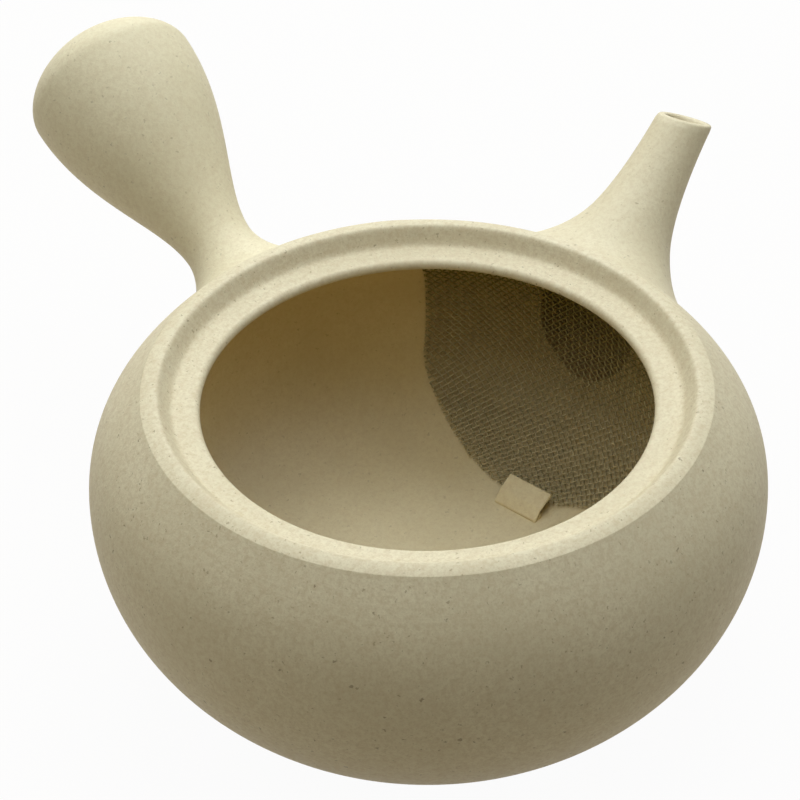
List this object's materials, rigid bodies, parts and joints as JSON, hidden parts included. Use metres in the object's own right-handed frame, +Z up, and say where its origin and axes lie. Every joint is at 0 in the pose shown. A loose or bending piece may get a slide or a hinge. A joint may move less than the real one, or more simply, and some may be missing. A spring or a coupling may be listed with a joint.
{
  "type": "side-handle teapot",
  "caption": "Squat round unglazed stoneware teapot with a hollow side handle, tapered pouring spout and a woven wire strainer held over the spout's hole by a clay tab.",
  "frame": {"origin": "middle of the flat foot, on the surface that the pot stands on", "axes": "+Z up along the pot's axis, +X towards the spout, +Y to the left of the spout seen from behind it"},
  "size_m": [0.1355, 0.15, 0.0684],
  "materials": {
    "body_clay": "matte unglazed stoneware, cream with fine brown specks",
    "spout_clay": "matte unglazed stoneware, cream with fine brown specks",
    "handle_clay": "matte unglazed stoneware, cream with fine brown specks",
    "tab_clay": "matte unglazed stoneware, pressed by hand",
    "strainer_wire": "fine plain-woven wire cloth, tea stained"
  },
  "bodies": {
    "pot": {"pot_body": "body_clay", "spout": "spout_clay", "handle": "handle_clay", "mesh_tab": "tab_clay"},
    "strainer": {"strainer_mesh": "strainer_wire"}
  },
  "joints": [
    {"name": "strainer_tip", "type": "hinge", "parent": "pot", "child": "strainer", "pos_m": [0.0275, 0, 0.00617], "axis": [0, -1, 0], "range_deg": [0, 12]}
  ]
}
